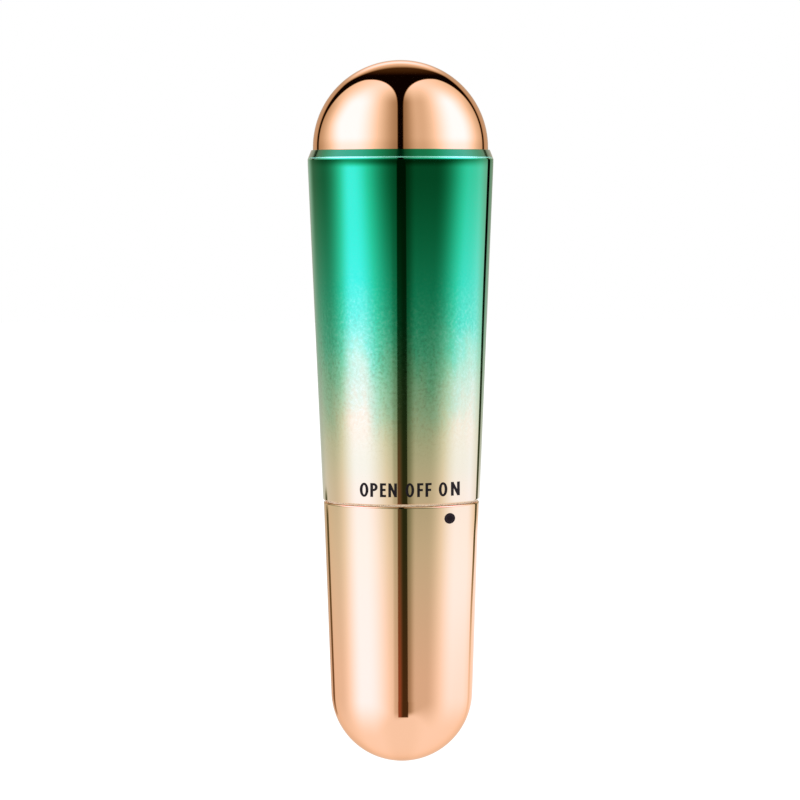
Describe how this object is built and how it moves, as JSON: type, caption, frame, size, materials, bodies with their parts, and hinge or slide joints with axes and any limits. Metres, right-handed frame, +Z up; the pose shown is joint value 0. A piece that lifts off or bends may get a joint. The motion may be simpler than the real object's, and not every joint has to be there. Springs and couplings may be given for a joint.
{
  "type": "electric facial massager",
  "caption": "Slim battery facial massager: tapered plated handle with a mirror dome head, and a rounded twist base that switches it and pulls off for the cell.",
  "frame": {"origin": "lowest point of the rounded base, on the long axis", "axes": "+Z up the long axis from the base to the dome; -Y is the front, which the marks face"},
  "size_m": [0.0314, 0.0314, 0.118],
  "materials": {
    "green_gold_plating": "mirror plated, green fading to champagne gold",
    "rose_gold_plating": "mirror plated rose gold",
    "champagne_gold_plating": "satin plated champagne gold fading to rose gold",
    "white_plastic": "moulded",
    "silicone": "smooth",
    "foam": "open cell",
    "steel": "drawn",
    "weight_alloy": "sintered",
    "ferrite": "matte",
    "bronze": "sintered",
    "copper": "enamelled wire and copper segments",
    "contact_metal": "nickel plated",
    "red_insulation": "wire insulation",
    "black_insulation": "wire insulation",
    "cell_jacket": "plain printed sleeve"
  },
  "bodies": {
    "handle": {"handle_shell": "green_gold_plating", "dome_head": "rose_gold_plating", "head_gasket": "silicone", "cushion_ring": "foam", "motor_clamp": "white_plastic", "clamp_screw_1": "steel", "clamp_screw_2": "steel", "chassis": "white_plastic", "bayonet_socket": "white_plastic", "motor_can": "steel", "motor_end_cap": "white_plastic", "motor_magnet_1": "ferrite", "motor_magnet_2": "ferrite", "front_bush": "bronze", "rear_bush": "bronze", "motor_terminal_1": "contact_metal", "motor_terminal_2": "contact_metal", "motor_brush_1": "contact_metal", "motor_brush_2": "contact_metal", "positive_contact": "contact_metal", "switch_contact": "contact_metal", "red_lead": "red_insulation", "black_lead": "black_insulation"},
    "rotor": {"motor_shaft": "steel", "rotor_core": "steel", "rotor_winding_1": "copper", "rotor_winding_2": "copper", "rotor_winding_3": "copper", "commutator": "copper", "eccentric_weight": "weight_alloy"},
    "seal": {"base_seal": "silicone"},
    "base": {"base_cap": "champagne_gold_plating", "base_liner": "white_plastic", "base_contact": "contact_metal", "cell_spring": "contact_metal"},
    "cell": {"battery": "cell_jacket"}
  },
  "joints": [
    {"name": "base_pull", "type": "slide", "parent": "handle", "child": "seal", "axis": [0, 0, -1], "range_m": [0, 0.12]},
    {"name": "base_twist", "type": "hinge", "parent": "seal", "child": "base", "pos_m": [0, 0, 0.0442], "axis": [0, 0, 1], "range_deg": [-56, 0]},
    {"name": "cell_draw", "type": "slide", "parent": "handle", "child": "cell", "axis": [0, 0, -1], "range_m": [0, 0.06]},
    {"name": "motor_spin", "type": "hinge", "parent": "handle", "child": "rotor", "pos_m": [0, 0, 0.085], "axis": [0, 0, 1], "continuous": true}
  ],
  "couplings": [
    {"joint": "cell_draw", "follows": "base_pull", "ratio": 0.5}
  ]
}
